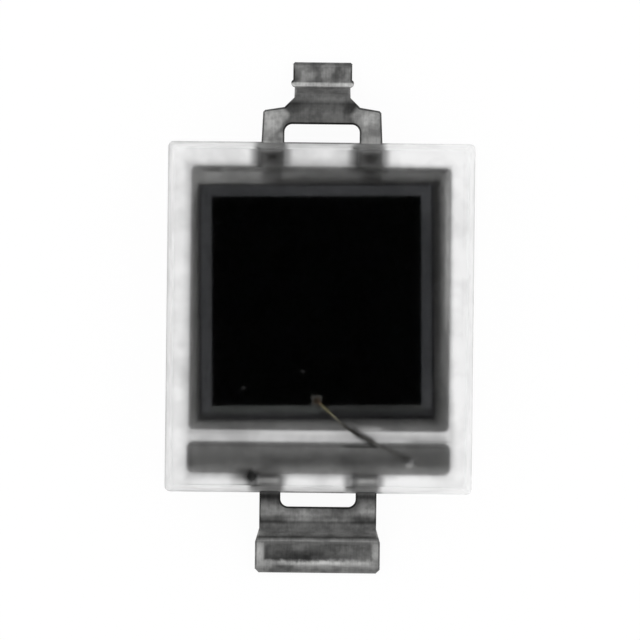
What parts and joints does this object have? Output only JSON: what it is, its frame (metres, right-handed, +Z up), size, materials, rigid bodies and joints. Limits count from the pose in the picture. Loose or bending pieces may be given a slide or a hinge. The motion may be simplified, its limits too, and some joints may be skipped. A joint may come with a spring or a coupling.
{
  "type": "photodiode",
  "caption": "Clear epoxy surface-mount photodiode with a square silicon die on a stamped lead frame, a gold bond wire and gull-wing leads.",
  "frame": {"origin": "middle of the footprint, on the plane of the solder faces", "axes": "+Z up, out of the sensing face; +Y towards the cathode lead; +X to the right with +Y ahead"},
  "size_m": [0.0038, 0.0066, 0.0012],
  "materials": {
    "clear_epoxy": "water-clear moulded epoxy, glossy",
    "lead_plating": "dull tin plating over copper alloy",
    "die_adhesive": "silver-filled adhesive",
    "silicon": "black coated silicon, dark grey frame",
    "contact_metal": "evaporated aluminium",
    "bond_gold": "drawn gold wire"
  },
  "bodies": {
    "root": {"epoxy_body": "clear_epoxy", "cathode_lead": "lead_plating", "anode_lead": "lead_plating", "die_attach": "die_adhesive", "silicon_die": "silicon", "anode_contact": "contact_metal", "bond_wire": "bond_gold"}
  },
  "joints": []
}
